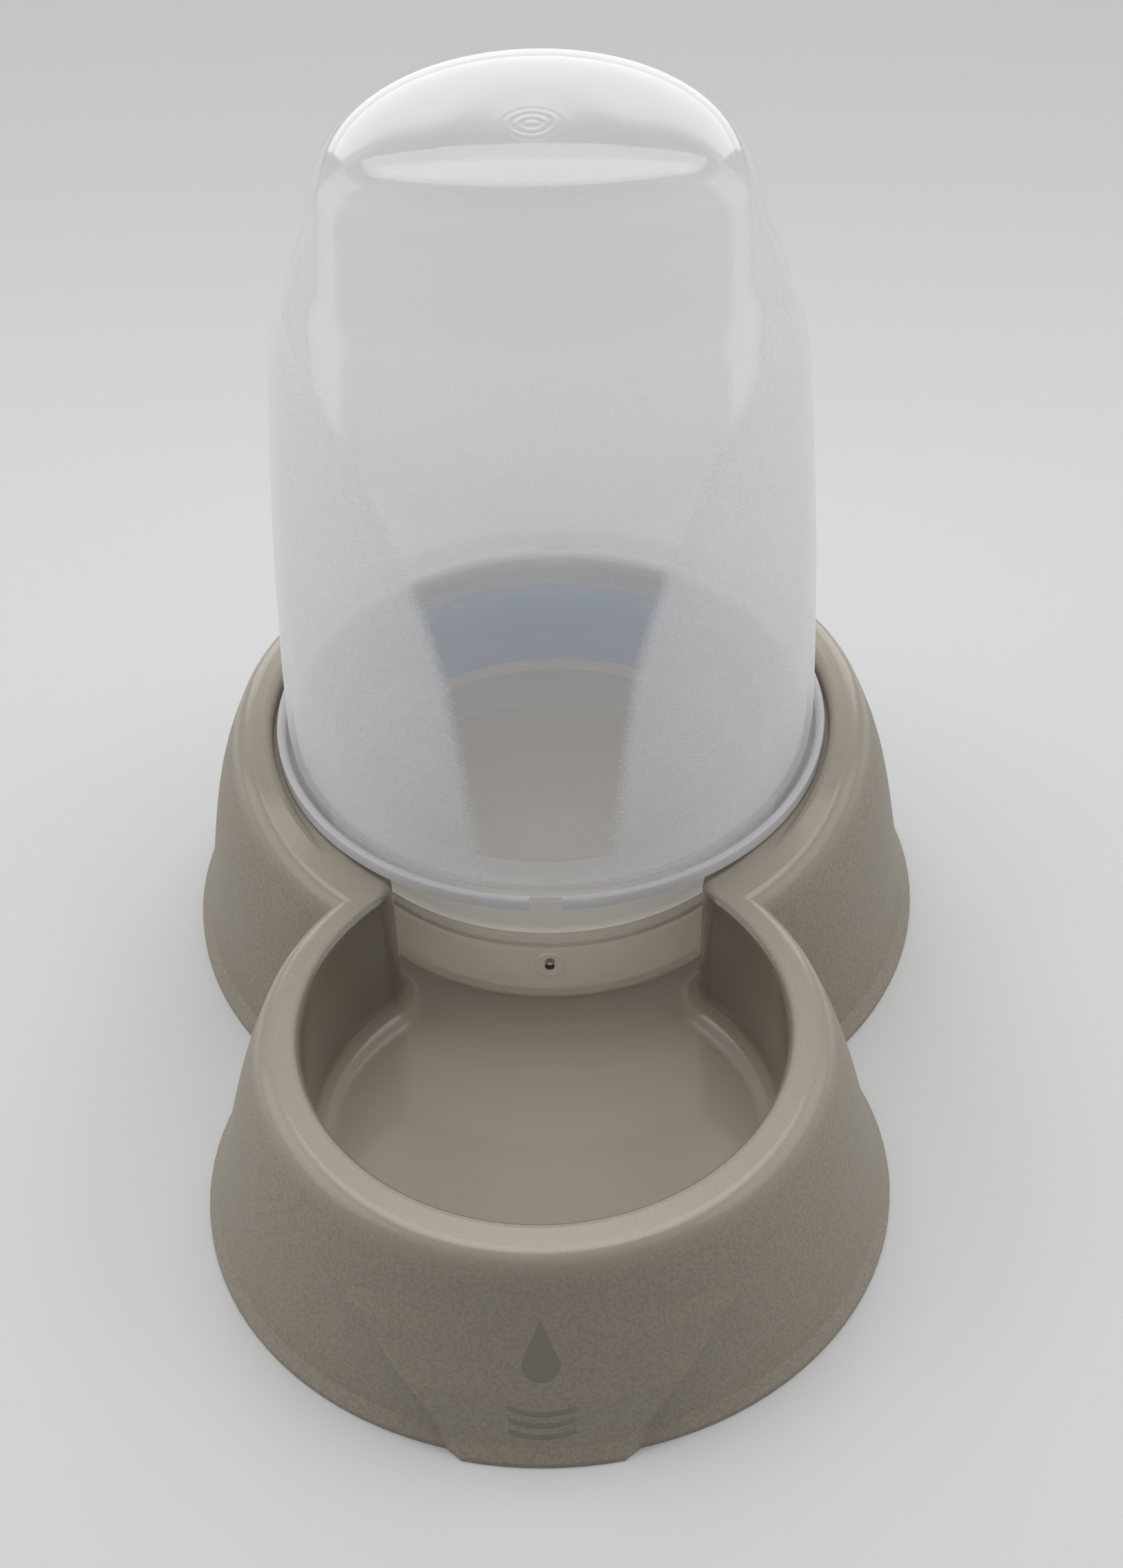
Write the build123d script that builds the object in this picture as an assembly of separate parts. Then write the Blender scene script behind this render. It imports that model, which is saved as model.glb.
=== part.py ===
"""Gravity pet waterer: a figure-of-eight base, an inverted reservoir and its outlet lid.

Frame: +Z up, the front bowl towards -Y, z = 0 on the floor under the foot ring,
x = y = 0 in the middle of the footprint. Millimetres throughout.
"""

import os

from build123d import *

# ---- overall plan ------------------------------------------------------------------
REAR_FOOT_R = 102.2  # foot ring under the reservoir
FRONT_FOOT_R = 89.5  # foot ring under the drinking bowl
NOSE_R = 92.2  # reach of the front panel beyond the bowl axis, at the floor
AXIS_GAP = 112.7  # between the reservoir axis and the bowl axis
LENGTH = REAR_FOOT_R + AXIS_GAP + NOSE_R
REAR_Y = LENGTH / 2 - REAR_FOOT_R  # reservoir axis
FRONT_Y = REAR_Y - AXIS_GAP  # bowl axis

# ---- base shell --------------------------------------------------------------------
REAR_SKIRT = [(102.2, 0), (102.2, 1.5), (99.6, 5.4), (97.1, 21.5), (94.6, 38.8)]
REAR_SKIRT += [(91.8, 51.7), (88.8, 60.5), (84.0, 72.0)]
FRONT_SKIRT = [(89.5, 0), (89.5, 1.5), (87.2, 5.0), (84.0, 17.2), (80.9, 30.2)]
FRONT_SKIRT += [(77.4, 43.1), (74.3, 52.0), (70.6, 61.0), (66.0, 72.0)]
FOOT_POINTS = 3  # the first points of each skirt, joined by straight lines
CREST = [(-190, 55.2), (-113, 58.9), (-84, 60.2), (-62, 61.6), (-46, 63.7), (-30, 66.2)]
CREST += [(-12, 67.4), (10, 67.6), (110, 67.6)]  # rim height along y from the rear axis
WALL = 2.3
CREST_WALL = 4.0  # roof of the hollow under the rim
BOWL_R = 62.2
WELL_R = 71.5  # well that takes the reservoir's neck and lid
CHEEK_R = 8.6  # rounding where the bowl runs into the well
FLOOR_Z = 16.8
FLOOR_FILLET = 6.0
DRAFT = 1.2  # degrees
RIM_LOW = 54.0  # every rim edge lies above this
RIM_OUTER_R = 5.0
RIM_INNER_R = 2.4
BASIN_SLACK = 3.5  # rim edges this close to the basin's radii bound it
SEAT_SLACK = 0.3  # rim edges this close to the recess's radius bound it
SEAT_R = 77.0  # recess that centres the reservoir's flange
SEAT_Z = 62.8
CUT_TOP = 80.0  # above every rim
CREST_HALF_W = 130.0  # half width of the tool that cuts the rim line
CREST_CAP = 40.0  # height of that tool above CUT_TOP

# front panel: half width of the flat, half width out to the flanks, reach, height
PANEL = [(20.0, 32.0, 92.2, 0.0), (20.0, 32.0, 92.2, 1.5), (21.5, 33.0, 90.1, 5.2)]
PANEL += [(34.0, 44.0, 86.3, 18.0), (46.5, 54.0, 81.3, 32.0), (57.0, 61.5, 75.5, 48.0)]
PANEL_LEAN = 0.42  # of the skirt behind the panel, mm inwards for each mm up
PANEL_SUNK = 5.0  # depth of the flanks' ends inside the skirt
PANEL_BACK = 50.0  # where the panel ends inside the skirt, from the bowl axis

# ---- reservoir ---------------------------------------------------------------------
TANK = [(71.4, 66.5), (72.4, 76.0), (72.2, 100.0), (71.5, 130.0), (69.9, 163.8), (69.0, 176.7)]
TANK += [(68.3, 187.5), (66.6, 197.4), (63.8, 205.2), (61.2, 212.1), (58.4, 218.9), (56.8, 225.8)]
TANK += [(55.3, 232.7), (53.0, 239.6), (47.6, 245.7), (38.7, 249.1), (24.0, 250.9), (0.0, 251.5)]
WINDOW = [(74.0, 66.0), (71.6, 100.0), (69.1, 131.0), (67.8, 145.0), (65.6, 161.0), (62.8, 175.5)]
WINDOW += [(59.4, 186.0), (55.4, 194.0), (49.6, 202.0), (44.6, 208.5), (39.2, 215.0)]
WINDOW += [(33.4, 225.0), (29.0, 233.0), (25.8, 240.0), (21.0, 246.5), (10.0, 251.0), (-5.0, 254.0)]
WINDOW_AXIS = 100.0  # the window is turned about an axis this far behind the tank's
TANK_WALL = 1.8
FLANGE_R = 75.6
FLANGE_TOP = 67.2
FLANGE_PLATE = 1.8
PLATE_TOP = 66.6  # the lip stands a little above the plate
LIP_BOTTOM = 63.2
LIP_WALL = 1.8
WEB_R = 72.9  # bead behind the lip, seen through its notches
NOTCH_W = 8.6
NOTCH_EASE = 0.9  # the notch tool is this much thicker than the lip
NOTCH_H = 12.0
NECK_R = 61.0
NECK_WALL = 1.9
NECK_BOTTOM = 37.6
COLLAR_R = 63.0  # thicker part of the neck above the lid
COLLAR_BOTTOM = 43.8

# ---- outlet lid and its seal -------------------------------------------------------
LID_R = 63.2
LID_BORE = 61.4
LID_TOP = 43.4
LID_BOTTOM = 17.6
LID_FLOOR = 1.8
LID_FILLET = 3.0
SHELF_IN = 57.8
SHELF_Z = 34.6
SHELF_T = 1.4
OUTLET_Z = 31.6
OUTLET_R = 1.3
BOSS_R = 4.3
BOSS_OUT = 0.7
BOSS_ROOT = 1.0  # length of the boss inside the cup's wall
OUTLET_REACH = 6.0  # half length of the tool that bores the outlet
SEAL_IN = 58.2
SEAL_OUT = 61.1
SEAL_T = 1.5


def profile_face(points, straight):
    """Face between a profile of (r, z) points and the axis: lines first, then a spline."""
    edges = [Line(a, b) for a, b in zip(points[: straight - 1], points[1:straight])]
    edges.append(Spline(*points[straight - 1 :]))
    low, high = points[0], points[-1]
    if high[0] > 0:
        edges.append(Line(high, (0, high[1])))
    edges.append(Line((0, high[1]), (0, low[1])))
    edges.append(Line((0, low[1]), low))
    return make_face([Plane.XZ * edge for edge in edges])


def turned(points, y, straight=1):
    """Solid of revolution about the vertical line at y, under a profile of (r, z) points."""
    return Pos(0, y, 0) * revolve(profile_face(points, straight), Axis.Z)


def narrowed(points, by):
    """The same profile with every radius smaller."""
    return [(r - by, z) for r, z in points]


def inset(points, by):
    """The same profile moved inwards square to itself."""
    before = [points[0], *points[:-1]]
    after = [*points[1:], points[-1]]
    moved = []
    for (r0, z0), (r, z), (r1, z1) in zip(before, points, after):
        run, rise = r1 - r0, z1 - z0
        length = (run**2 + rise**2) ** 0.5
        moved.append((r - by * rise / length, z + by * run / length))
    moved[0] = (points[0][0] - by, points[0][1] - 1)
    moved[-1] = (0, points[-1][1] - by)
    return moved


def disc(radius, low, high, y=REAR_Y):
    """Upright cylinder about the vertical line at y."""
    return Pos(0, y, low) * extrude(Circle(radius), high - low)


def ring(outer, inner, low, high):
    """Upright ring about the reservoir axis."""
    return disc(outer, low, high) - disc(inner, low - 1, high + 1)


def crest_tool(drop):
    """Everything above the rim line, lowered by drop."""
    pts = [(REAR_Y + y, z - drop) for y, z in CREST]
    edges = [Spline(*pts)]
    edges.append(Line(pts[-1], (pts[-1][0], CUT_TOP + CREST_CAP)))
    edges.append(Line((pts[-1][0], CUT_TOP + CREST_CAP), (pts[0][0], CUT_TOP + CREST_CAP)))
    edges.append(Line((pts[0][0], CUT_TOP + CREST_CAP), pts[0]))
    face = make_face([Plane.YZ * edge for edge in edges])
    return extrude(face, CREST_HALF_W, both=True)


def basin_plan(grow):
    """Outline of the well and the bowl, joined by rounded cheeks."""
    well, bowl, cheek = WELL_R + grow, BOWL_R + grow, CHEEK_R - grow
    to_well, to_bowl = well + cheek, bowl + cheek
    behind = (to_well**2 - to_bowl**2 + AXIS_GAP**2) / (2 * AXIS_GAP)
    side = (to_well**2 - behind**2) ** 0.5
    centre_y = REAR_Y - behind
    well_x, well_y = side * well / to_well, REAR_Y + (centre_y - REAR_Y) * well / to_well
    bowl_x, bowl_y = side * bowl / to_bowl, FRONT_Y + (centre_y - FRONT_Y) * bowl / to_bowl
    return make_face(
        [
            ThreePointArc((well_x, well_y), (0, REAR_Y + well), (-well_x, well_y)),
            ThreePointArc((-well_x, well_y), (cheek - side, centre_y), (-bowl_x, bowl_y)),
            ThreePointArc((-bowl_x, bowl_y), (0, FRONT_Y - bowl), (bowl_x, bowl_y)),
            ThreePointArc((bowl_x, bowl_y), (side - cheek, centre_y), (well_x, well_y)),
        ]
    )


def basin(grow, low):
    """The bowl and the well as one hollow with rounded cheeks, from low up."""
    return extrude(Pos(0, 0, CUT_TOP) * basin_plan(grow), -(CUT_TOP - low), taper=DRAFT)


def panel_face(flat, flank, reach, z):
    """Outline of the front panel at one height."""
    side_y = PANEL_SUNK - ((FRONT_FOOT_R - PANEL_LEAN * z) ** 2 - flank**2) ** 0.5
    corner_y = -((reach**2 - flat**2) ** 0.5)
    edges = [
        ThreePointArc((-flat, corner_y), (0, -reach), (flat, corner_y)),
        Line((flat, corner_y), (flank, side_y)),
        Line((flank, side_y), (flank / 2, -PANEL_BACK)),
        Line((flank / 2, -PANEL_BACK), (-flank / 2, -PANEL_BACK)),
        Line((-flank / 2, -PANEL_BACK), (-flank, side_y)),
        Line((-flank, side_y), (-flat, corner_y)),
    ]
    return Pos(0, FRONT_Y, z) * make_face(edges)


def rim_edges(solid):
    """Edges that run round the top of the rim."""
    return [e for e in solid.edges() if e.length > 1 and min((e @ t).Z for t in (0, 0.5, 1)) > RIM_LOW]


def beyond(point, y):
    """Distance of a point from the vertical line at y."""
    return (point.X**2 + (point.Y - y) ** 2) ** 0.5


def basin_rim(solid):
    """Rim edges that bound the bowl and the well."""
    found = []
    for edge in rim_edges(solid):
        mid = edge @ 0.5
        if min(beyond(mid, REAR_Y) - WELL_R, beyond(mid, FRONT_Y) - BOWL_R) < BASIN_SLACK:
            found.append(edge)
    return found


def seat_rim(solid):
    """Upper edges of the recess that takes the flange."""
    found = []
    for edge in rim_edges(solid):
        mid = edge @ 0.5
        if mid.Z > SEAT_Z + SEAT_SLACK and abs(beyond(mid, REAR_Y) - SEAT_R) < SEAT_SLACK:
            found.append(edge)
    return found


def make_base():
    """Tan shell: two skirts, the rounded rim, the basin and the hollow underneath."""
    outer = turned(REAR_SKIRT, REAR_Y, FOOT_POINTS) + turned(FRONT_SKIRT, FRONT_Y, FOOT_POINTS)
    for low, high in zip(PANEL[:-1], PANEL[1:]):
        outer += loft([panel_face(*low), panel_face(*high)], ruled=True)
    outer -= crest_tool(0)
    outer = fillet(rim_edges(outer), RIM_OUTER_R)
    water = basin(0, FLOOR_Z)
    water = fillet(water.faces().sort_by(Axis.Z)[0].edges(), FLOOR_FILLET)
    shell = outer - water
    shell = fillet(basin_rim(shell), RIM_INNER_R)
    shell -= disc(SEAT_R, SEAT_Z, CUT_TOP + 1)
    shell = fillet(seat_rim(shell), RIM_INNER_R)

    hollow = turned(narrowed(REAR_SKIRT, WALL), REAR_Y, FOOT_POINTS)
    hollow += turned(narrowed(FRONT_SKIRT, WALL), FRONT_Y, FOOT_POINTS)
    hollow -= crest_tool(CREST_WALL)
    hollow -= disc(SEAT_R + WALL, SEAT_Z - WALL, CUT_TOP)
    hollow -= basin(WALL, FLOOR_Z - WALL)
    return shell - hollow


def window_cut(points):
    """Solid whose front is the window's surface, gently bowed about a line behind the tank."""
    far = [(r + WINDOW_AXIS, z) for r, z in points]
    return turned(far, REAR_Y + WINDOW_AXIS)


def make_reservoir():
    """Frosted tank with its window, flange, notched lip and neck."""
    tank = turned(TANK, REAR_Y) & window_cut(WINDOW)
    tank -= turned(inset(TANK, TANK_WALL), REAR_Y) & window_cut(narrowed(WINDOW, TANK_WALL))
    neck_bore = NECK_R - NECK_WALL
    tank += ring(FLANGE_R - 1, neck_bore, PLATE_TOP - FLANGE_PLATE, PLATE_TOP)
    tank += ring(FLANGE_R, FLANGE_R - LIP_WALL, LIP_BOTTOM, FLANGE_TOP)
    tank += ring(WEB_R, WEB_R - 1.2, LIP_BOTTOM + 0.8, PLATE_TOP - 1)
    tank += ring(COLLAR_R, neck_bore, COLLAR_BOTTOM, PLATE_TOP - 1)
    tank += ring(NECK_R, neck_bore, NECK_BOTTOM, PLATE_TOP - 1)
    for side in (-1, 1):
        notch_y = REAR_Y + side * (FLANGE_R - LIP_WALL / 2)
        tank -= Pos(0, notch_y, LIP_BOTTOM) * Box(NOTCH_W, LIP_WALL + NOTCH_EASE, NOTCH_H)
    return tank


def make_lid():
    """Clear cup that closes the neck and lets water out of one small hole."""
    lid = disc(LID_R, LID_BOTTOM, LID_TOP)
    lid = fillet(lid.faces().sort_by(Axis.Z)[0].edges(), LID_FILLET)
    hollow = disc(LID_BORE, LID_BOTTOM + LID_FLOOR, LID_TOP + 1)
    lid -= fillet(hollow.faces().sort_by(Axis.Z)[0].edges(), LID_FILLET - 1)
    lid += ring(LID_BORE + 0.5, SHELF_IN, SHELF_Z, SHELF_Z + SHELF_T)
    outlet = Pos(0, REAR_Y - LID_R + BOSS_ROOT, OUTLET_Z) * Rot(90, 0, 0)
    lid += outlet * extrude(Circle(BOSS_R), BOSS_ROOT + BOSS_OUT)
    lid -= outlet * extrude(Circle(OUTLET_R), OUTLET_REACH, both=True)
    return lid


def make_neck_seal():
    """Flat ring squeezed between the neck's lower edge and the lid's shelf."""
    return ring(SEAL_OUT, SEAL_IN, SHELF_Z + SHELF_T, SHELF_Z + SHELF_T + SEAL_T)


def main():
    """Write one STEP file for each piece."""
    os.makedirs("parts", exist_ok=True)
    pieces = {
        "base": make_base(),
        "reservoir": make_reservoir(),
        "outlet_lid": make_lid(),
        "neck_seal": make_neck_seal(),
    }
    for name, piece in pieces.items():
        export_step(piece, f"parts/{name}.step")


if __name__ == "__main__":
    main()
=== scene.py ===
"""Looks of a gravity pet waterer: tan two-lobed base, frosted tank and clear outlet lid.

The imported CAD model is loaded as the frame. The base, the lid and the seal keep their
CAD meshes and get their finishes here. The tank is spun afresh, with soft edges round
its window, and stands for its CAD node. Everything is in metres, in the frame's axes:
+Z up, +Y from the drinking bowl to the tank.
"""

from __future__ import annotations

import logging
import math
from dataclasses import dataclass
from enum import Enum
from typing import Any, Iterable, Sequence

import bmesh
import bpy
from mathutils import Matrix, Vector

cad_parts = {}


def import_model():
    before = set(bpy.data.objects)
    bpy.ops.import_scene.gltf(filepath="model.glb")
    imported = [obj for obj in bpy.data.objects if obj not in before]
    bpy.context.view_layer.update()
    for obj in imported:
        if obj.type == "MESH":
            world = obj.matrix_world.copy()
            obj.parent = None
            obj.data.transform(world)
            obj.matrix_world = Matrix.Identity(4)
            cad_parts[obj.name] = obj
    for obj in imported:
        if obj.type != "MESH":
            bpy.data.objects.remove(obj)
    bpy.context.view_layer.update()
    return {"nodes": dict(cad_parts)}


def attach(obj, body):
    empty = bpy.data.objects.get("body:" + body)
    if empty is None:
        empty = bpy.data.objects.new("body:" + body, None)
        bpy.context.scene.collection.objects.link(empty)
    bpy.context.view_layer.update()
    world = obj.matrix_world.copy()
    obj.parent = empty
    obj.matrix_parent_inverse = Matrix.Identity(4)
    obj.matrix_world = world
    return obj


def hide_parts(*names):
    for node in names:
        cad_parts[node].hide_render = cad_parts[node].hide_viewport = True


LOG = logging.getLogger("waterer")

MM = 0.001
REAR_Y = 51.35 * MM
FRONT_Y = -61.35 * MM
SHARP = math.radians(38)

Colour = tuple[float, float, float]
Spot = tuple[float, float, float]
Pair = tuple[float, float]


class Node(Enum):
    """Names of the frame's CAD nodes."""

    BASE = "base"
    TANK = "reservoir"
    LID = "outlet_lid"
    SEAL = "neck_seal"


class Body(Enum):
    """Names of the frame's moving bodies."""

    BASE = "base"
    LID = "lid"
    TANK = "reservoir"


# ------------------------------------------------------------------ shader expressions


class Field:
    """A number that varies over a surface, as a shader socket with arithmetic."""

    def __init__(self, graph: "Graph", socket: bpy.types.NodeSocket) -> None:
        """Wrap a socket.

        Args:
            graph: the graph that the socket belongs to.
            socket: the output that carries the number.
        """
        self.graph = graph
        self.socket = socket

    def _with(self, operation: str, first: Any, second: Any) -> "Field":
        """Add one Math node and return its result."""
        settings = {"operation": operation}
        node = self.graph.node("ShaderNodeMath", settings, {0: first, 1: second})
        return Field(self.graph, node.outputs[0])

    def __add__(self, other: Any) -> "Field":
        """Sum."""
        return self._with("ADD", self, other)

    __radd__ = __add__

    def __sub__(self, other: Any) -> "Field":
        """Difference."""
        return self._with("SUBTRACT", self, other)

    def __rsub__(self, other: Any) -> "Field":
        """Difference from a number on the left."""
        return self._with("SUBTRACT", other, self)

    def __mul__(self, other: Any) -> "Field":
        """Product."""
        return self._with("MULTIPLY", self, other)

    __rmul__ = __mul__

    def __truediv__(self, other: Any) -> "Field":
        """Quotient."""
        return self._with("DIVIDE", self, other)

    def __abs__(self) -> "Field":
        """Size without sign."""
        return self._with("ABSOLUTE", self, 0.0)

    def least(self, other: Any) -> "Field":
        """The smaller of two fields."""
        return self._with("MINIMUM", self, other)

    def most(self, other: Any) -> "Field":
        """The larger of two fields."""
        return self._with("MAXIMUM", self, other)

    def power(self, other: Any) -> "Field":
        """This field raised to a power."""
        return self._with("POWER", self, other)

    def sine(self) -> "Field":
        """Sine of this field, in radians."""
        return self._with("SINE", self, 0.0)

    def step(self, low: float, high: float) -> "Field":
        """Rise smoothly from 0 at low to 1 at high, or fall where low is the larger.

        Args:
            low: where the result is 0.
            high: where the result is 1.

        Returns:
            The eased field.
        """
        settings = {"interpolation_type": "SMOOTHSTEP"}
        inputs = {"Value": self, "From Min": low, "From Max": high}
        node = self.graph.node("ShaderNodeMapRange", settings, inputs)
        return Field(self.graph, node.outputs["Result"])


class Graph:
    """A material's nodes, built from Python expressions."""

    def __init__(self, name: str) -> None:
        """Start an empty material.

        Args:
            name: the material's name.
        """
        self.material = bpy.data.materials.new(name)
        self.material.use_nodes = True
        self.tree = self.material.node_tree
        self.tree.nodes.clear()
        self.out = self.node("ShaderNodeOutputMaterial", {}, {})
        self.place = self.node("ShaderNodeTexCoord", {}, {}).outputs["Object"]
        split = self.node("ShaderNodeSeparateXYZ", {}, {0: self.place})
        self.x, self.y, self.z = (Field(self, out) for out in split.outputs)

    def node(self, kind: str, settings: dict[str, Any], inputs: dict[Any, Any]) -> bpy.types.Node:
        """Add a node, set its options first, then its inputs.

        Args:
            kind: the node's Blender type.
            settings: attributes, and "stops" for a ramp's (place, colour) pairs.
            inputs: values, sockets or fields by input name or number.

        Returns:
            The new node.
        """
        node = self.tree.nodes.new(kind)
        for key, value in settings.items():
            if key == "stops":
                self._set_stops(node.color_ramp, value)
            else:
                setattr(node, key, value)
        for key, value in inputs.items():
            source = value.socket if isinstance(value, Field) else value
            if isinstance(source, bpy.types.NodeSocket):
                self.tree.links.new(source, node.inputs[key])
            else:
                node.inputs[key].default_value = source
        return node

    @staticmethod
    def _set_stops(ramp: bpy.types.ColorRamp, stops: Sequence[Pair]) -> None:
        """Give a ramp grey stops.

        Args:
            ramp: the ramp to fill.
            stops: (place, level) pairs in rising order.
        """
        while len(ramp.elements) < len(stops):
            ramp.elements.new(0.5)
        for element, (place, level) in zip(ramp.elements, stops):
            element.position = place
            element.color = (level, level, level, 1.0)

    def curve(self, value: Field, points: Sequence[Pair], scale: float = 1.0) -> Field:
        """Look a field up in a table of points.

        Args:
            value: the field to look up.
            points: (from, to) pairs in rising order.
            scale: largest result that the table holds.

        Returns:
            The looked-up field.
        """
        low, high = points[0][0], points[-1][0]
        stops = [((a - low) / (high - low), b / scale) for a, b in points]
        ramp = self.node("ShaderNodeValToRGB", {"stops": stops}, {0: (value - low) / (high - low)})
        return Field(self, ramp.outputs["Color"]) * scale

    def from_axis(self, y: float) -> Field:
        """Distance from an upright axis.

        Args:
            y: place of the axis.

        Returns:
            The distance in metres.
        """
        return self.length(self.x, self.y - y, 0.0)

    def length(self, x: Any, y: Any, z: Any) -> Field:
        """Length of a vector.

        Args:
            x: its part across.
            y: its part from front to back.
            z: its part upwards.

        Returns:
            The length.
        """
        vector = self.node("ShaderNodeCombineXYZ", {}, {0: x, 1: y, 2: z})
        settings = {"operation": "LENGTH"}
        node = self.node("ShaderNodeVectorMath", settings, {0: vector.outputs[0]})
        return Field(self, node.outputs["Value"])

    def noise(self, scale: float, detail: float = 2.0, roughness: float = 0.5) -> Field:
        """Even noise between 0 and 1.

        Args:
            scale: features for each metre.
            detail: octaves.
            roughness: how strong the finer octaves are.

        Returns:
            The noise.
        """
        inputs = {"Vector": self.place, "Scale": scale, "Detail": detail, "Roughness": roughness}
        return Field(self, self.node("ShaderNodeTexNoise", {}, inputs).outputs[0])

    def specks(self, scale: float, share: float) -> Field:
        """Small sparse dots: 1 in a dot, 0 elsewhere.

        Args:
            scale: cells for each metre.
            share: size of a dot as a share of its cell.

        Returns:
            The dots.
        """
        cells = self.node("ShaderNodeTexVoronoi", {}, {"Vector": self.place, "Scale": scale})
        colour = self.node("ShaderNodeSeparateColor", {}, {0: cells.outputs["Color"]})
        rare = Field(self, colour.outputs[0]).step(0.80, 0.84)
        return Field(self, cells.outputs["Distance"]).step(share, share * 0.5) * rare

    def blend(self, factor: Any, first: Any, second: Any) -> bpy.types.NodeSocket:
        """Mix two colours.

        Args:
            factor: share of the second.
            first: a colour or a socket.
            second: a colour or a socket.

        Returns:
            The mixed colour's socket.
        """
        inputs = {0: factor, 6: self._opaque(first), 7: self._opaque(second)}
        return self.node("ShaderNodeMix", {"data_type": "RGBA"}, inputs).outputs[2]

    @staticmethod
    def _opaque(colour: Any) -> Any:
        """Add an alpha of 1 to a plain colour."""
        return (*colour, 1.0) if isinstance(colour, tuple) else colour

    def bump(self, height: Field, depth: float) -> bpy.types.NodeSocket:
        """Normal of a relief.

        Args:
            height: relief between 0 and 1.
            depth: depth of the relief in metres.

        Returns:
            The normal's socket.
        """
        inputs = {"Strength": 1.0, "Distance": depth, "Height": height}
        return self.node("ShaderNodeBump", {}, inputs).outputs[0]

    def shade(self, kind: str, **inputs: Any) -> bpy.types.NodeSocket:
        """Add a shader node.

        Args:
            kind: the shader's short name.
            inputs: its inputs, each by its name in lower case with underscores.

        Returns:
            The shader's socket.
        """
        named: dict[str, Any] = {}
        for key, value in inputs.items():
            name = key.replace("_", " ").title().replace("Ior", "IOR")
            named[name] = self._opaque(value)
        return self.node(f"ShaderNodeBsdf{kind}", {}, named).outputs[0]

    def sheen(self, normal: bpy.types.NodeSocket) -> Field:
        """Share of light that clear plastic reflects, the same from inside and outside.

        Args:
            normal: the surface's normal.

        Returns:
            The share.
        """
        weight = self.node("ShaderNodeLayerWeight", {}, {"Blend": 0.5, "Normal": normal})
        return Field(self, weight.outputs["Facing"]).power(5.0) * 0.96 + 0.036

    def mix(self, factor: Any, first: Any, second: Any) -> bpy.types.NodeSocket:
        """Mix two shaders; factor is the share of the second."""
        return self.node("ShaderNodeMixShader", {}, {0: factor, 1: first, 2: second}).outputs[0]

    def finish(self, shader: bpy.types.NodeSocket) -> bpy.types.Material:
        """Connect the surface and return the material."""
        self.tree.links.new(shader, self.out.inputs["Surface"])
        return self.material


# ---------------------------------------------------------------------------- finishes


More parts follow.
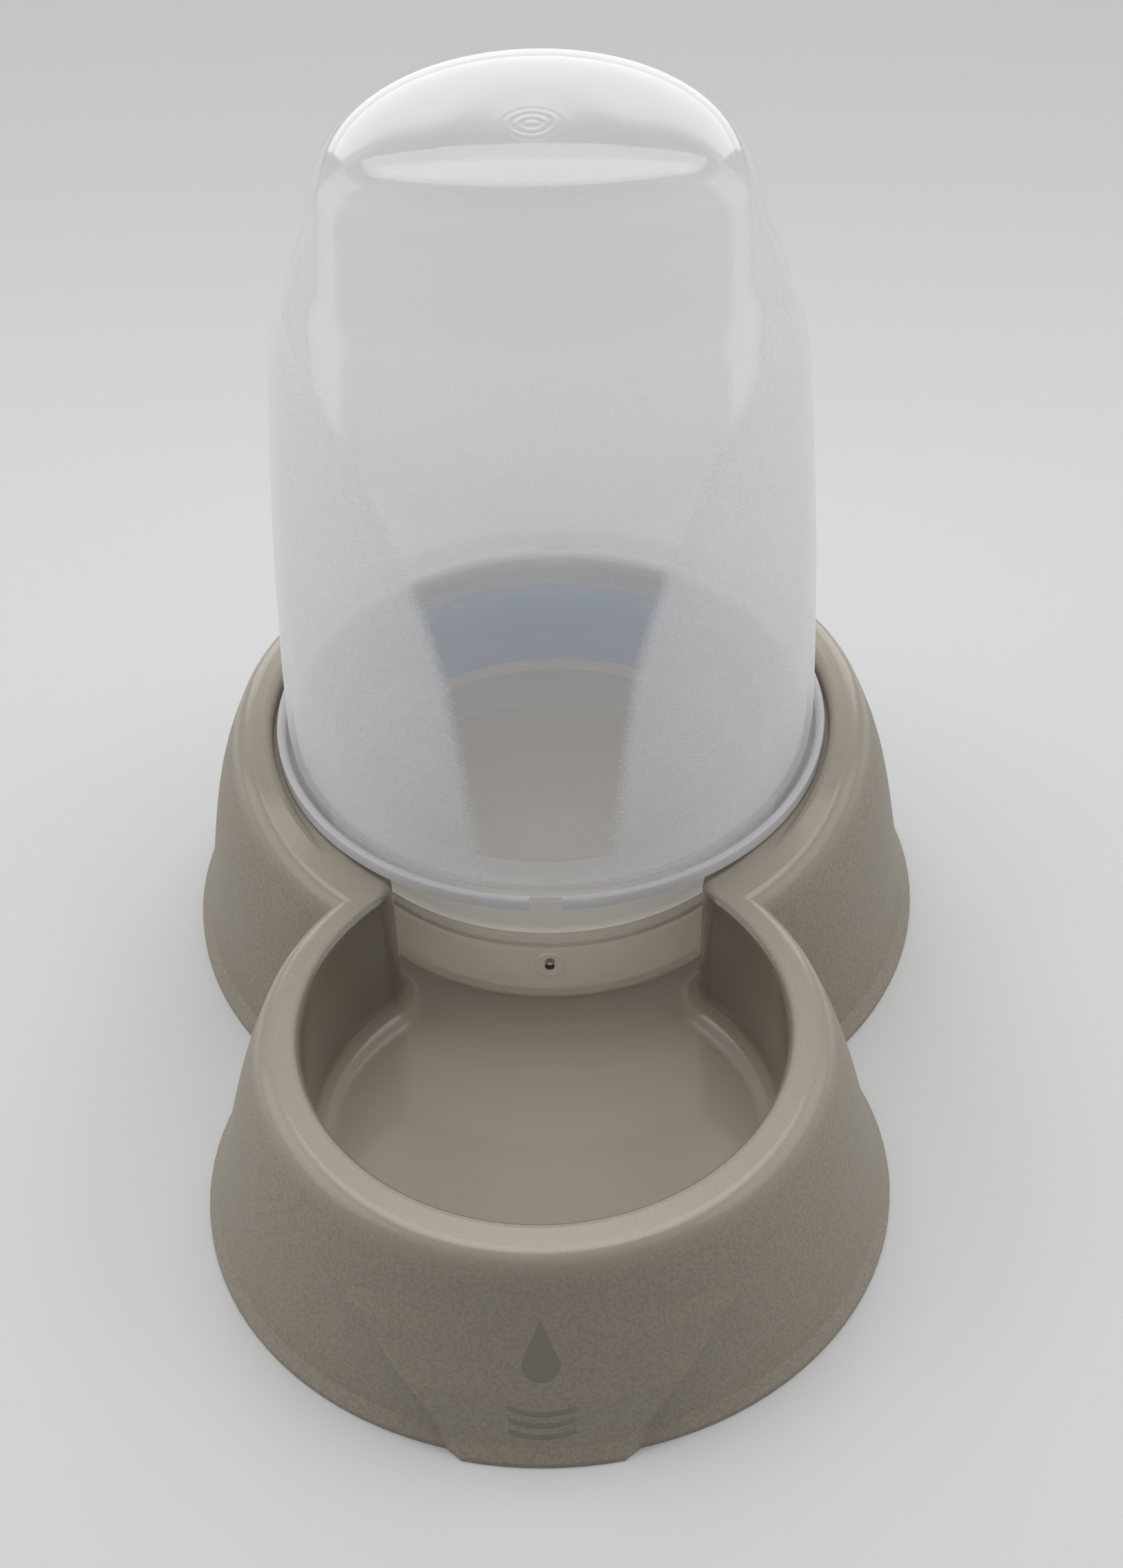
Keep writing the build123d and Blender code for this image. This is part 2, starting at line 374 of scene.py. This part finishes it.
@dataclass(frozen=True)
class TanPlastic:
    """Tan polypropylene: fine matt grain outside, satin rim, glossy basin."""

    colour: Colour = (0.280, 0.246, 0.198)
    # Lighter tone: random variation of the plastic, and painted light on the rim crest and basin
    # floor.
    light_tone_and_painted_light: Colour = (0.345, 0.298, 0.240)
    # Dark tone: pores and the drop motif, and painted shade on the basin walls.
    pore_and_painted_shade: Colour = (0.165, 0.142, 0.112)
    dust: Colour = (0.10, 0.085, 0.07)
    grain_rough: float = 0.50
    rim_rough: float = 0.30
    basin_rough: float = 0.13
    grain_depth: float = 0.00007
    basin_reach: Pair = (75.6 * MM, 62.9 * MM)
    basin_soft: float = 0.6 * MM
    # Heights where painted light on the basin floor gives way to painted shade on the basin walls.
    painted_light_floor_heights: Pair = (26.0 * MM, 19.0 * MM)
    rim_height: tuple[Pair, ...] = (
        (-0.140, 0.0552),
        (-0.062, 0.0589),
        (-0.012, 0.0616),
        (0.040, 0.0674),
        (0.160, 0.0676),
    )
    rim_depth: float = 8.0 * MM
    panel_reach: Pair = (-125.0 * MM, -130.0 * MM)
    drop_height: float = 28.0 * MM
    drop_taper: float = 12.0 * MM
    drop_radius: float = 5.0 * MM
    ripple_height: float = 17.0 * MM
    ripple_pitch: float = 3.2 * MM
    ripple_bow: float = 22.0

    def drop(self, g: Graph) -> Field:
        """Mask of a plain water drop over three ripples on the front panel.

        Args:
            g: the graph to build in.

        Returns:
            1 inside the motif, 0 outside.
        """
        high = g.z - self.drop_height
        fall = high.least(0.0)
        taper = (1.0 - high / self.drop_taper).least(1.0).most(0.0)
        spread = (g.x * g.x + fall * fall).power(0.5)
        drop = (spread - taper * self.drop_radius).step(0.0, -0.35 * MM)
        low = g.z - self.ripple_height - g.x * g.x * self.ripple_bow
        waves = (low * (math.tau / self.ripple_pitch)).sine().step(0.05, 0.45)
        ripples = waves * low.step(-9.6 * MM, -9.4 * MM) * low.step(0.2 * MM, 0.0)
        ripples = ripples * abs(g.x).step(8.6 * MM, 8.0 * MM)
        return drop.most(ripples) * g.y.step(*self.panel_reach)

    def basin(self, g: Graph) -> Field:
        """Mask of the basin: the well under the tank and the bowl.

        Args:
            g: the graph to build in.

        Returns:
            1 in the basin, 0 outside.
        """
        well, bowl = (
            g.from_axis(y).step(reach + self.basin_soft, reach - self.basin_soft)
            for y, reach in zip((REAR_Y, FRONT_Y), self.basin_reach)
        )
        return well.most(bowl)

    def material(self) -> bpy.types.Material:
        """Build the material.

        Returns:
            The finished material.
        """
        g = Graph("tan_plastic")
        inside = self.basin(g)
        crest = g.curve(g.y, self.rim_height, 0.1)
        rim = (crest - g.z).step(self.rim_depth, 0.0) * (1 - inside)
        motif = self.drop(g)
        grain = g.noise(2600.0, 3.0, 0.6)
        smooth = (rim * 0.75).most(inside).most(motif * 0.9)
        cloud = g.noise(35.0, 3.0)
        scuff = g.noise(420.0, 4.0, 0.7).step(0.56, 0.74)
        dust = g.specks(160.0, 0.05)
        # Painted light: the rim's crest is blended towards the lighter tone; the cloud share is
        # random variation of the plastic's tone.
        tone = g.blend((rim * 0.50 + cloud * 0.20).least(1.0), self.colour, self.light_tone_and_painted_light)
        pores = g.noise(1100.0, 2.0, 0.7).step(0.42, 0.60) * (1 - smooth)
        tone = g.blend(pores * 0.40, tone, self.pore_and_painted_shade)
        tone = g.blend(motif * 0.75, tone, self.pore_and_painted_shade)
        # Painted light: the basin floor below these heights is blended towards the lighter tone.
        low = g.z.step(*self.painted_light_floor_heights) * inside
        tone = g.blend(low * 0.85, tone, self.light_tone_and_painted_light)
        # Painted shade: the basin walls above the floor are blended towards the dark tone.
        tone = g.blend((inside - low) * 0.95, tone, self.pore_and_painted_shade)
        tone = g.blend(dust * 0.6, tone, self.dust)
        outside = rim * self.rim_rough + (1 - rim) * self.grain_rough
        rough = inside * self.basin_rough + (1 - inside) * outside
        rough = rough - motif * 0.22 + scuff * 0.05 + cloud * 0.04
        relief = grain * (1 - smooth) * 0.9 + motif * 2.2 + g.noise(90.0) * 0.6
        shader = g.shade(
            "Principled",
            base_color=tone,
            roughness=rough,
            ior=1.49,
            coat_weight=inside * 0.6 + rim * 0.3,
            coat_roughness=0.11,
            normal=g.bump(relief, self.grain_depth),
        )
        return g.finish(shader)


@dataclass(frozen=True)
class TankPlastic:
    """Milky translucent plastic: frosted round the sides, clearer in the window."""

    milk: Colour = (0.87, 0.87, 0.88)
    glow: Colour = (0.905, 0.905, 0.91)
    # Bluish tone of the painted shade on the neck's back half.
    painted_shade_blue: Colour = (0.48, 0.67, 0.93)
    tint: Colour = (0.995, 0.995, 0.992)
    # Grey tint that paints shade on the top disc.
    top_painted_shade_tint: Colour = (0.90, 0.90, 0.90)
    window_milk: float = 0.23
    crown_milk: float = 0.42
    top_clearer: float = 0.28
    frost_milk: float = 0.60
    neck_milk: float = 0.26
    lip_milk: float = 0.80
    shine: Colour = (0.95, 0.96, 0.97)
    relief_depth: float = 0.00009
    arch_height: float = 104.0 * MM
    arch_radius: float = 27.0 * MM
    ring_pitch: float = 2.6 * MM
    window_edge: tuple[Pair, ...] = (
        (0.066, 0.0165),
        (0.100, 0.0198),
        (0.131, 0.0231),
        (0.145, 0.0263),
        (0.161, 0.0315),
        (0.1755, 0.0366),
        (0.186, 0.0422),
        (0.193, 0.0470),
        (0.202, 0.0530),
        (0.210, 0.0700),
    )

    def material(self) -> bpy.types.Material:
        """Build the material.

        Returns:
            The finished material.
        """
        g = Graph("tank_plastic")
        edge = g.curve(g.z, self.window_edge, 0.1)
        front = (g.y - REAR_Y).step(-5.0 * MM, -15.0 * MM)
        below = g.z.step(214.0 * MM, 203.0 * MM)
        out = g.from_axis(REAR_Y)
        grain = g.noise(1500.0, 3.0, 0.65)
        side = (abs(g.x) - edge + (grain - 0.5) * 5.0 * MM).step(-2.0 * MM, 3.0 * MM)
        crown = g.z.step(196.0 * MM, 232.0 * MM)
        frost = side.most(1 - front) * below * g.z.step(66.0 * MM, 68.5 * MM)
        lip = out.step(73.0 * MM, 73.8 * MM) * g.z.step(68.5 * MM, 67.6 * MM)
        neck = g.z.step(64.5 * MM, 63.0 * MM) * (1 - lip)
        back = (g.y - REAR_Y).step(40.0 * MM, 50.0 * MM)
        below_arch = (g.z - self.arch_height).least(0.0)
        arch = (g.x * g.x + below_arch * below_arch).power(0.5)
        outline = abs(arch - self.arch_radius).step(1.2 * MM, 0.3 * MM)
        outline = outline * back * g.z.step(196.0 * MM, 188.0 * MM)
        cloud = g.noise(28.0, 2.0)
        gate = out.step(13.0 * MM, 4.0 * MM) * g.z.step(246.0 * MM, 248.0 * MM)
        rings = (out * (math.tau / self.ring_pitch)).sine() * gate
        milk = self.window_milk + frost * (self.frost_milk - self.window_milk)
        milk = milk.most(self.window_milk + crown * (self.crown_milk - self.window_milk))
        top = g.z.step(238.0 * MM, 249.0 * MM)
        milk = milk - top * self.top_clearer
        milk = milk + neck * (self.neck_milk - self.window_milk)
        milk = milk + lip * (self.lip_milk - self.window_milk)
        milk = milk + (grain - 0.5) * frost * 0.45 + (cloud - 0.5) * 0.05
        milk = milk + outline * 0.03 + gate * 0.05
        relief = grain * frost + (rings * 0.5 + 0.5) * gate * 0.5
        relief = relief + outline * 0.2 + cloud * 0.3
        normal = g.bump(relief, self.relief_depth)
        rough = 0.11 + frost * 0.34 + lip * 0.22 + neck * 0.12
        # Painted shade: the back half of the neck is tinted blue and made milkier, standing for
        # the shaded well wall seen through the window.
        painted_shade_band = neck * back
        milk = milk + painted_shade_band * 0.38
        lit_tone = g.blend(painted_shade_band, self.milk, self.painted_shade_blue)
        glow_tone = g.blend(painted_shade_band, self.glow, self.painted_shade_blue)
        lit = g.shade(
            "Principled",
            base_color=lit_tone,
            roughness=0.6,
            specular_ior_level=0.0,
            normal=normal,
        )
        through = g.shade("Translucent", color=glow_tone, normal=normal)
        # Painted shade: light through the top disc is dimmed by a grey tint.
        clear = g.shade("Transparent", color=g.blend(top, self.tint, self.top_painted_shade_tint))
        cast = g.mix(milk, clear, g.mix(0.58, lit, through))
        gloss = g.shade("Glossy", color=self.shine, roughness=rough, normal=normal)
        return g.finish(g.mix(g.sheen(normal) * (1.0 - frost * 0.3), cast, gloss))


@dataclass(frozen=True)
class LidPlastic:
    """Clear polished plastic with a faint milkiness at its edges."""

    # Painted light: the milk's tan is the colour of the basin seen through the clear lid.
    milk: Colour = (0.93, 0.86, 0.77)
    tint: Colour = (0.995, 0.99, 0.98)
    # Dark tone of the painted shade in the outlet hole.
    hole_painted_shade: Colour = (0.05, 0.035, 0.025)
    shine: Colour = (0.97, 0.97, 0.97)
    body_milk: float = 0.30
    edge_milk: float = 0.30
    boss_reach: float = 63.0 * MM
    boss_height: float = 31.6 * MM
    boss_radius: float = 4.2 * MM

    def material(self) -> bpy.types.Material:
        """Build the material.

        Returns:
            The finished material.
        """
        g = Graph("lid_plastic")
        top = g.z.step(42.6 * MM, 43.2 * MM)
        reach = g.length(g.x, g.y - REAR_Y + self.boss_reach, g.z - self.boss_height)
        ring = abs(reach - self.boss_radius).step(0.8 * MM, 0.2 * MM)
        # Painted shade: the outlet hole is filled in with an opaque dark tone.
        painted_hole_shade = reach.step(1.9 * MM, 1.4 * MM)
        wave = g.noise(45.0, 2.0)
        milk = self.body_milk + top * self.edge_milk + ring * 0.18 + painted_hole_shade * 0.75
        normal = g.bump(wave, 0.0001)
        tone = g.blend(painted_hole_shade, self.milk, self.hole_painted_shade)
        lit = g.shade("Principled", base_color=tone, roughness=0.5, specular_ior_level=0.0)
        cast = g.mix(milk, g.shade("Transparent", color=self.tint), lit)
        gloss = g.shade("Glossy", color=self.shine, roughness=0.06, normal=normal)
        return g.finish(g.mix(g.sheen(normal), cast, gloss))


@dataclass(frozen=True)
class SealSilicone:
    """Pale translucent silicone of the hidden ring."""

    colour: Colour = (0.72, 0.71, 0.68)
    darker: Colour = (0.66, 0.65, 0.62)
    clear: Colour = (1.0, 1.0, 1.0)
    cover: float = 0.55
    roughness: float = 0.42

    def material(self) -> bpy.types.Material:
        """Build the material.

        Returns:
            The finished material.
        """
        g = Graph("seal_silicone")
        grain = g.noise(900.0, 2.0)
        tone = g.blend(grain, self.colour, self.darker)
        rough = grain * 0.08 + self.roughness
        relief = g.bump(grain, 0.00004)
        solid = g.shade("Principled", base_color=tone, roughness=rough, normal=relief)
        return g.finish(g.mix(self.cover, g.shade("Transparent", color=self.clear), solid))


@dataclass(frozen=True)
class StudioPaper:
    """Pale grey paper under the waterer."""

    colour: Colour = (0.625, 0.63, 0.628)
    darker: Colour = (0.61, 0.615, 0.613)
    # Darker tone of the painted shade towards the back of the paper.
    far_painted_shade: Colour = (0.41, 0.415, 0.415)

    def material(self) -> bpy.types.Material:
        """Build the material.

        Returns:
            The finished material.
        """
        g = Graph("studio_paper")
        tone = g.blend(g.noise(3.0, 1.0), self.colour, self.darker)
        # Painted shade: the paper darkens towards the back.
        tone = g.blend(g.y.step(0.0, 0.65), tone, self.far_painted_shade)
        relief = g.bump(g.noise(900.0, 2.0), 0.00005)
        return g.finish(g.shade("Principled", base_color=tone, roughness=0.85, normal=relief))


# ------------------------------------------------------------------------------ meshes


def smooth_line(points: Sequence[Pair], steps: int) -> list[Pair]:
    """Thread a smooth line through points.

    Args:
        points: (radius, height) pairs.
        steps: pieces between two neighbours.

    Returns:
        The denser line, with the same ends.
    """
    line: list[Pair] = []
    padded = [points[0], *points, points[-1]]
    for a, b, c, d in zip(padded, padded[1:], padded[2:], padded[3:]):
        for i in range(steps):
            t = i / steps
            weights = (
                (-t + 2 * t * t - t**3) / 2,
                (2 - 5 * t * t + 3 * t**3) / 2,
                (t + 4 * t * t - 3 * t**3) / 2,
                (t**3 - t * t) / 2,
            )
            spot = [sum(w * p[k] for w, p in zip(weights, (a, b, c, d))) for k in (0, 1)]
            line.append((spot[0], spot[1]))
    line.append(points[-1])
    return line


def looked_up(points: Sequence[Pair], at: float) -> float:
    """Read a table at one place.

    Args:
        points: (value, place) pairs in rising order of place.
        at: the place to read.

    Returns:
        The value there, or the nearest end's value outside the table.
    """
    for (v0, p0), (v1, p1) in zip(points, points[1:]):
        if p0 <= at <= p1:
            return v0 + (v1 - v0) * (at - p0) / max(p1 - p0, 1e-9)
    return points[0][0] if at < points[0][1] else points[-1][0]


def add_object(
    name: str, mesh: bmesh.types.BMesh, material: bpy.types.Material
) -> bpy.types.Object:
    """Turn a bmesh into a smooth-shaded object.

    Args:
        name: the object's name.
        mesh: its faces, freed afterwards.
        material: its finish.

    Returns:
        The new object, linked to the scene.
    """
    for face in mesh.faces:
        face.smooth = True
    for edge in mesh.edges:
        edge.smooth = len(edge.link_faces) == 2 and edge.calc_face_angle(0.0) < SHARP
    data = bpy.data.meshes.new(name)
    mesh.to_mesh(data)
    mesh.free()
    data.materials.append(material)
    obj = bpy.data.objects.new(name, data)
    bpy.context.scene.collection.objects.link(obj)
    return obj


def chain(mesh: bmesh.types.BMesh, profile: Iterable[Pair], y: float) -> list[bmesh.types.BMEdge]:
    """Draw a profile in the upright plane through the axis at y.

    Args:
        mesh: where to draw.
        profile: (radius, height) pairs in metres.
        y: place of the axis.

    Returns:
        The profile's edges.
    """
    verts = [mesh.verts.new((r, y, z)) for r, z in profile]
    return [mesh.edges.new(pair) for pair in zip(verts, verts[1:])]


# ------------------------------------------------------------------------ sub-assemblies


@dataclass
class BaseMoulding:
    """Two-lobed base: its CAD mesh with the tan finish."""

    finish: TanPlastic = TanPlastic()

    def dress(self, nodes: dict[str, bpy.types.Object]) -> None:
        """Give the CAD node its finish.

        Args:
            nodes: the frame's CAD nodes by name.
        """
        node = nodes[Node.BASE.value]
        node.data.materials.clear()
        node.data.materials.append(self.finish.material())
        LOG.info("base dressed: %d faces", len(node.data.polygons))


@dataclass
class Tank:
    """Inverted tank: spun shell, window folded in at the front, notched lip, neck."""

    finish: TankPlastic = TankPlastic()
    segments: int = 240
    wall_mm: float = 1.8
    window_axis: float = 100.0 * MM
    fold_from: float = 68.0 * MM
    soft: Pair = (2.6 * MM, 6.0 * MM)
    soft_from: float = 0.180
    soft_over: float = 0.045
    lip_radius: float = 75.6 * MM
    lip_half_gap: float = 4.3 * MM
    side: tuple[Pair, ...] = (
        (71.8, 68.0),
        (72.4, 76.0),
        (72.2, 100.0),
        (71.5, 130.0),
        (69.9, 163.8),
        (69.0, 176.7),
        (68.3, 187.5),
        (66.6, 197.4),
        (63.8, 205.2),
        (61.2, 212.1),
        (58.4, 218.9),
        (56.8, 225.8),
        (55.3, 232.7),
        (53.0, 239.6),
        (47.6, 245.7),
        (38.7, 249.1),
        (24.0, 250.9),
        (11.0, 251.38),
        (0.0, 251.5),
    )
    window: tuple[Pair, ...] = (
        (74.0, 66.0),
        (71.6, 100.0),
        (69.1, 131.0),
        (67.8, 145.0),
        (65.6, 161.0),
        (62.8, 175.5),
        (59.4, 186.0),
        (55.4, 194.0),
        (49.6, 202.0),
        (44.6, 208.5),
        (39.2, 215.0),
        (33.4, 225.0),
        (29.0, 233.0),
        (25.8, 240.0),
        (21.0, 246.5),
        (10.0, 251.0),
        (-5.0, 254.0),
    )
    skirt: tuple[Pair, ...] = (
        (71.65, 67.2),
        (71.9, 66.85),
        (72.3, 66.65),
        (73.9, 66.6),
        (73.9, 64.8),
        (72.9, 64.7),
        (72.9, 64.1),
        (72.7, 63.9),
        (71.9, 63.9),
        (71.7, 64.1),
        (71.7, 64.7),
        (64.2, 64.8),
        (63.4, 64.5),
        (63.0, 63.8),
        (63.0, 54.0),
        (63.0, 44.1),
        (62.7, 43.8),
        (61.0, 43.8),
        (61.0, 38.0),
        (60.6, 37.6),
        (59.5, 37.6),
        (59.1, 38.0),
        (59.1, 50.0),
        (59.1, 65.6),
        (59.6, 66.3),
        (60.4, 66.6),
        (68.6, 66.6),
        (69.4, 66.9),
        (69.8, 67.6),
    )
    lip: tuple[Pair, ...] = (
        (73.8, 63.4),
        (74.0, 63.2),
        (75.3, 63.2),
        (75.6, 63.5),
        (75.6, 66.8),
        (75.2, 67.2),
        (74.2, 67.2),
        (73.8, 66.9),
    )

    def _outline(self) -> list[Pair]:
        """Profile from the crown's outside round the neck to the crown's inside.

        Returns:
            (radius, height) pairs in metres.
        """
        outside = smooth_line(self.side, 7)
        wall = self.wall_mm
        inside = [
            (max(r - wall * a, 0.0), z - wall * b)
            for (r, z), (a, b) in zip(outside, self._normals(outside))
        ]
        inside[-1] = (0.0, inside[-1][1])
        full = [*reversed(outside), *self.skirt, *inside[2:]]
        return [(r * MM, z * MM) for r, z in full]

    @staticmethod
    def _normals(line: Sequence[Pair]) -> list[Pair]:
        """Outward directions along a rising line.

        Args:
            line: (radius, height) pairs.

        Returns:
            One direction of length 1 for each pair.
        """
        before = [line[0], *line[:-1]]
        after = [*line[1:], line[-1]]
        runs = [(b[0] - a[0], b[1] - a[1]) for a, b in zip(before, after)]
        return [(dz / math.hypot(dr, dz), -dr / math.hypot(dr, dz)) for dr, dz in runs]

    def _fold_window(self, mesh: bmesh.types.BMesh) -> None:
        """Press the front of the shell back to the window's gently bowed surface.

        Args:
            mesh: the spun shell.
        """
        outside = [(r * MM, z * MM) for r, z in smooth_line(self.side, 7)]
        window = [(d * MM, z * MM) for d, z in smooth_line(self.window, 4)]
        wall = self.wall_mm * MM
        for vert in mesh.verts:
            z = vert.co.z
            across, along = vert.co.x, vert.co.y - REAR_Y
            radius = math.hypot(across, along)
            if z < self.fold_from or radius < 1e-6:
                continue
            depth = 0.0 if radius > looked_up(outside, z) - wall * 0.5 else wall
            reach = looked_up(window, z) - depth + self.window_axis
            bearing = self.window_axis * along / radius
            under_root = bearing**2 - self.window_axis**2 + reach**2
            limit = bearing + math.sqrt(max(under_root, 0.0))
            ease = min(max((z - self.soft_from) / self.soft_over, 0.0), 1.0)
            soft = self.soft[0] + (self.soft[1] - self.soft[0]) * ease
            overlap = max(soft - abs(radius - limit), 0.0) / soft
            pressed = min(radius, limit) - overlap**2 * soft / 4
            vert.co.x *= pressed / radius
            vert.co.y = REAR_Y + along * pressed / radius

    def _add_lip(self, mesh: bmesh.types.BMesh) -> None:
        """Add the lip's two halves, with a notch at the front and at the back.

        Args:
            mesh: where to add them.
        """
        gap = math.asin(self.lip_half_gap / self.lip_radius)
        axis = Vector((0.0, REAR_Y, 0.0))
        for start in (-math.pi / 2 + gap, math.pi / 2 + gap):
            verts = [mesh.verts.new((r * MM, REAR_Y, z * MM)) for r, z in self.lip]
            face = mesh.faces.new(verts)
            turn = Matrix.Rotation(start, 3, "Z")
            bmesh.ops.rotate(mesh, verts=verts, cent=axis, matrix=turn)
            bmesh.ops.spin(
                mesh,
                geom=[face, *face.edges, *face.verts],
                cent=axis,
                axis=(0, 0, 1),
                angle=math.pi - 2 * gap,
                steps=self.segments // 2,
                use_duplicate=False,
            )

    def build(self) -> bpy.types.Object:
        """Model the tank.

        Returns:
            The tank's object.
        """
        mesh = bmesh.new()
        edges = chain(mesh, self._outline(), REAR_Y)
        geom = [*edges, *{v for e in edges for v in e.verts}]
        bmesh.ops.spin(
            mesh,
            geom=geom,
            cent=Vector((0.0, REAR_Y, 0.0)),
            axis=(0, 0, 1),
            angle=math.tau,
            steps=self.segments,
            use_merge=True,
        )
        bmesh.ops.remove_doubles(mesh, verts=mesh.verts, dist=1e-6)
        self._fold_window(mesh)
        bmesh.ops.recalc_face_normals(mesh, faces=mesh.faces)
        lips = bmesh.new()
        self._add_lip(lips)
        bmesh.ops.remove_doubles(lips, verts=lips.verts, dist=1e-6)
        bmesh.ops.recalc_face_normals(lips, faces=lips.faces)
        part = bpy.data.meshes.new("lip_halves")
        lips.to_mesh(part)
        lips.free()
        mesh.from_mesh(part)
        bpy.data.meshes.remove(part)
        tank = add_object("tank_shell", mesh, self.finish.material())
        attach(tank, Body.TANK.value)
        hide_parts(Node.TANK.value)
        LOG.info("tank built: %d faces", len(tank.data.polygons))
        return tank


@dataclass
class OutletLid:
    """Clear cup and its seal: CAD meshes with their finishes."""

    finish: LidPlastic = LidPlastic()
    seal: SealSilicone = SealSilicone()

    def dress(self, nodes: dict[str, bpy.types.Object]) -> None:
        """Give the lid and the seal their finishes.

        Args:
            nodes: the frame's CAD nodes by name.
        """
        for name, material, slot in (
            (Node.LID, self.finish.material(), "lid_plastic"),
            (Node.SEAL, self.seal.material(), "seal_rubber"),
        ):
            node = nodes[name.value]
            node.data.materials.clear()
            node.data.materials.append(material)
            LOG.info("%s dressed", name.value)


@dataclass(frozen=True)
class Lamp:
    """One soft rectangular lamp."""

    name: str
    power: float
    size: Pair
    place: Spot
    aim: Spot

    def hang(self) -> None:
        """Add the lamp to the scene."""
        data = bpy.data.lights.new(self.name, "AREA")
        data.shape = "RECTANGLE"
        data.size, data.size_y = self.size
        data.energy = self.power
        lamp = bpy.data.objects.new(self.name, data)
        direction = Vector(self.aim) - Vector(self.place)
        turn = direction.to_track_quat("-Z", "Y").to_matrix().to_4x4()
        lamp.matrix_world = Matrix.Translation(self.place) @ turn
        bpy.context.scene.collection.objects.link(lamp)


@dataclass
class Studio:
    """Paper floor, soft lights and the camera."""

    paper: StudioPaper = StudioPaper()
    paper_half: float = 4.0
    room_colour: Colour = (0.97, 0.98, 1.0)
    room_strength: float = 0.28
    lamps: tuple[Lamp, ...] = (
        Lamp("ceiling", 17.0, (1.5, 1.2), (0.0, 0.35, 1.7), (0.0, 0.1, 0.0)),
        Lamp("left_wall", 7.5, (1.6, 1.2), (-1.25, 0.0, 0.75), (0.0, 0.0, 0.1)),
        Lamp("right_wall", 7.0, (1.6, 1.2), (1.25, 0.0, 0.75), (0.0, 0.0, 0.1)),
        Lamp("back_wall", 11.0, (2.0, 0.9), (0.0, 1.5, 0.55), (0.0, 0.1, 0.12)),
    )
    sensor: float = 36.0
    focal_ratio: float = 4694.2 / 2268.0
    clip: Pair = (0.01, 50.0)
    eye: Spot = (25.54 * MM, -632.65 * MM, 647.71 * MM)
    pitch: float = 0.7258
    yaw: float = -0.0337
    roll: float = -0.0296

    def floor(self) -> None:
        """Lay the paper."""
        mesh = bmesh.new()
        bmesh.ops.create_grid(mesh, x_segments=1, y_segments=1, size=self.paper_half)
        sheet = add_object("paper_floor", mesh, self.paper.material())

    def lights(self) -> None:
        """Hang the lamps and set the room's light."""
        world = bpy.data.worlds.new("room")
        world.use_nodes = True
        back = world.node_tree.nodes["Background"]
        back.inputs["Color"].default_value = (*self.room_colour, 1.0)
        back.inputs["Strength"].default_value = self.room_strength
        bpy.context.scene.world = world
        for lamp in self.lamps:
            lamp.hang()

    def camera(self) -> None:
        """Set the camera at the viewing angle."""
        data = bpy.data.cameras.new("camera")
        data.sensor_width = self.sensor
        data.sensor_fit = "AUTO"
        data.lens = self.focal_ratio * self.sensor
        data.clip_start, data.clip_end = self.clip
        ahead, down = math.cos(self.pitch), -math.sin(self.pitch)
        look = Vector((math.sin(self.yaw) * ahead, math.cos(self.yaw) * ahead, down))
        level = Vector((math.cos(self.yaw), -math.sin(self.yaw), 0.0))
        above = level.cross(look)
        right = level * math.cos(self.roll) + above * math.sin(self.roll)
        up = above * math.cos(self.roll) - level * math.sin(self.roll)
        turn = Matrix((right, up, -look)).transposed().to_4x4()
        camera = bpy.data.objects.new("camera", data)
        camera.matrix_world = Matrix.Translation(self.eye) @ turn
        bpy.context.scene.collection.objects.link(camera)
        bpy.context.scene.camera = camera


def main() -> None:
    """Load the frame, dress and build every sub-assembly, and set the studio."""
    logging.basicConfig(level=logging.INFO, format="%(name)s: %(message)s")
    scene = bpy.context.scene
    scene.view_settings.view_transform = "Standard"
    scene.cycles.transparent_max_bounces = 24
    scene.cycles.diffuse_bounces = 8
    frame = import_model()
    BaseMoulding().dress(frame["nodes"])
    OutletLid().dress(frame["nodes"])
    Tank().build()
    studio = Studio()
    studio.floor()
    studio.lights()
    studio.camera()


if __name__ == "__main__":
    main()
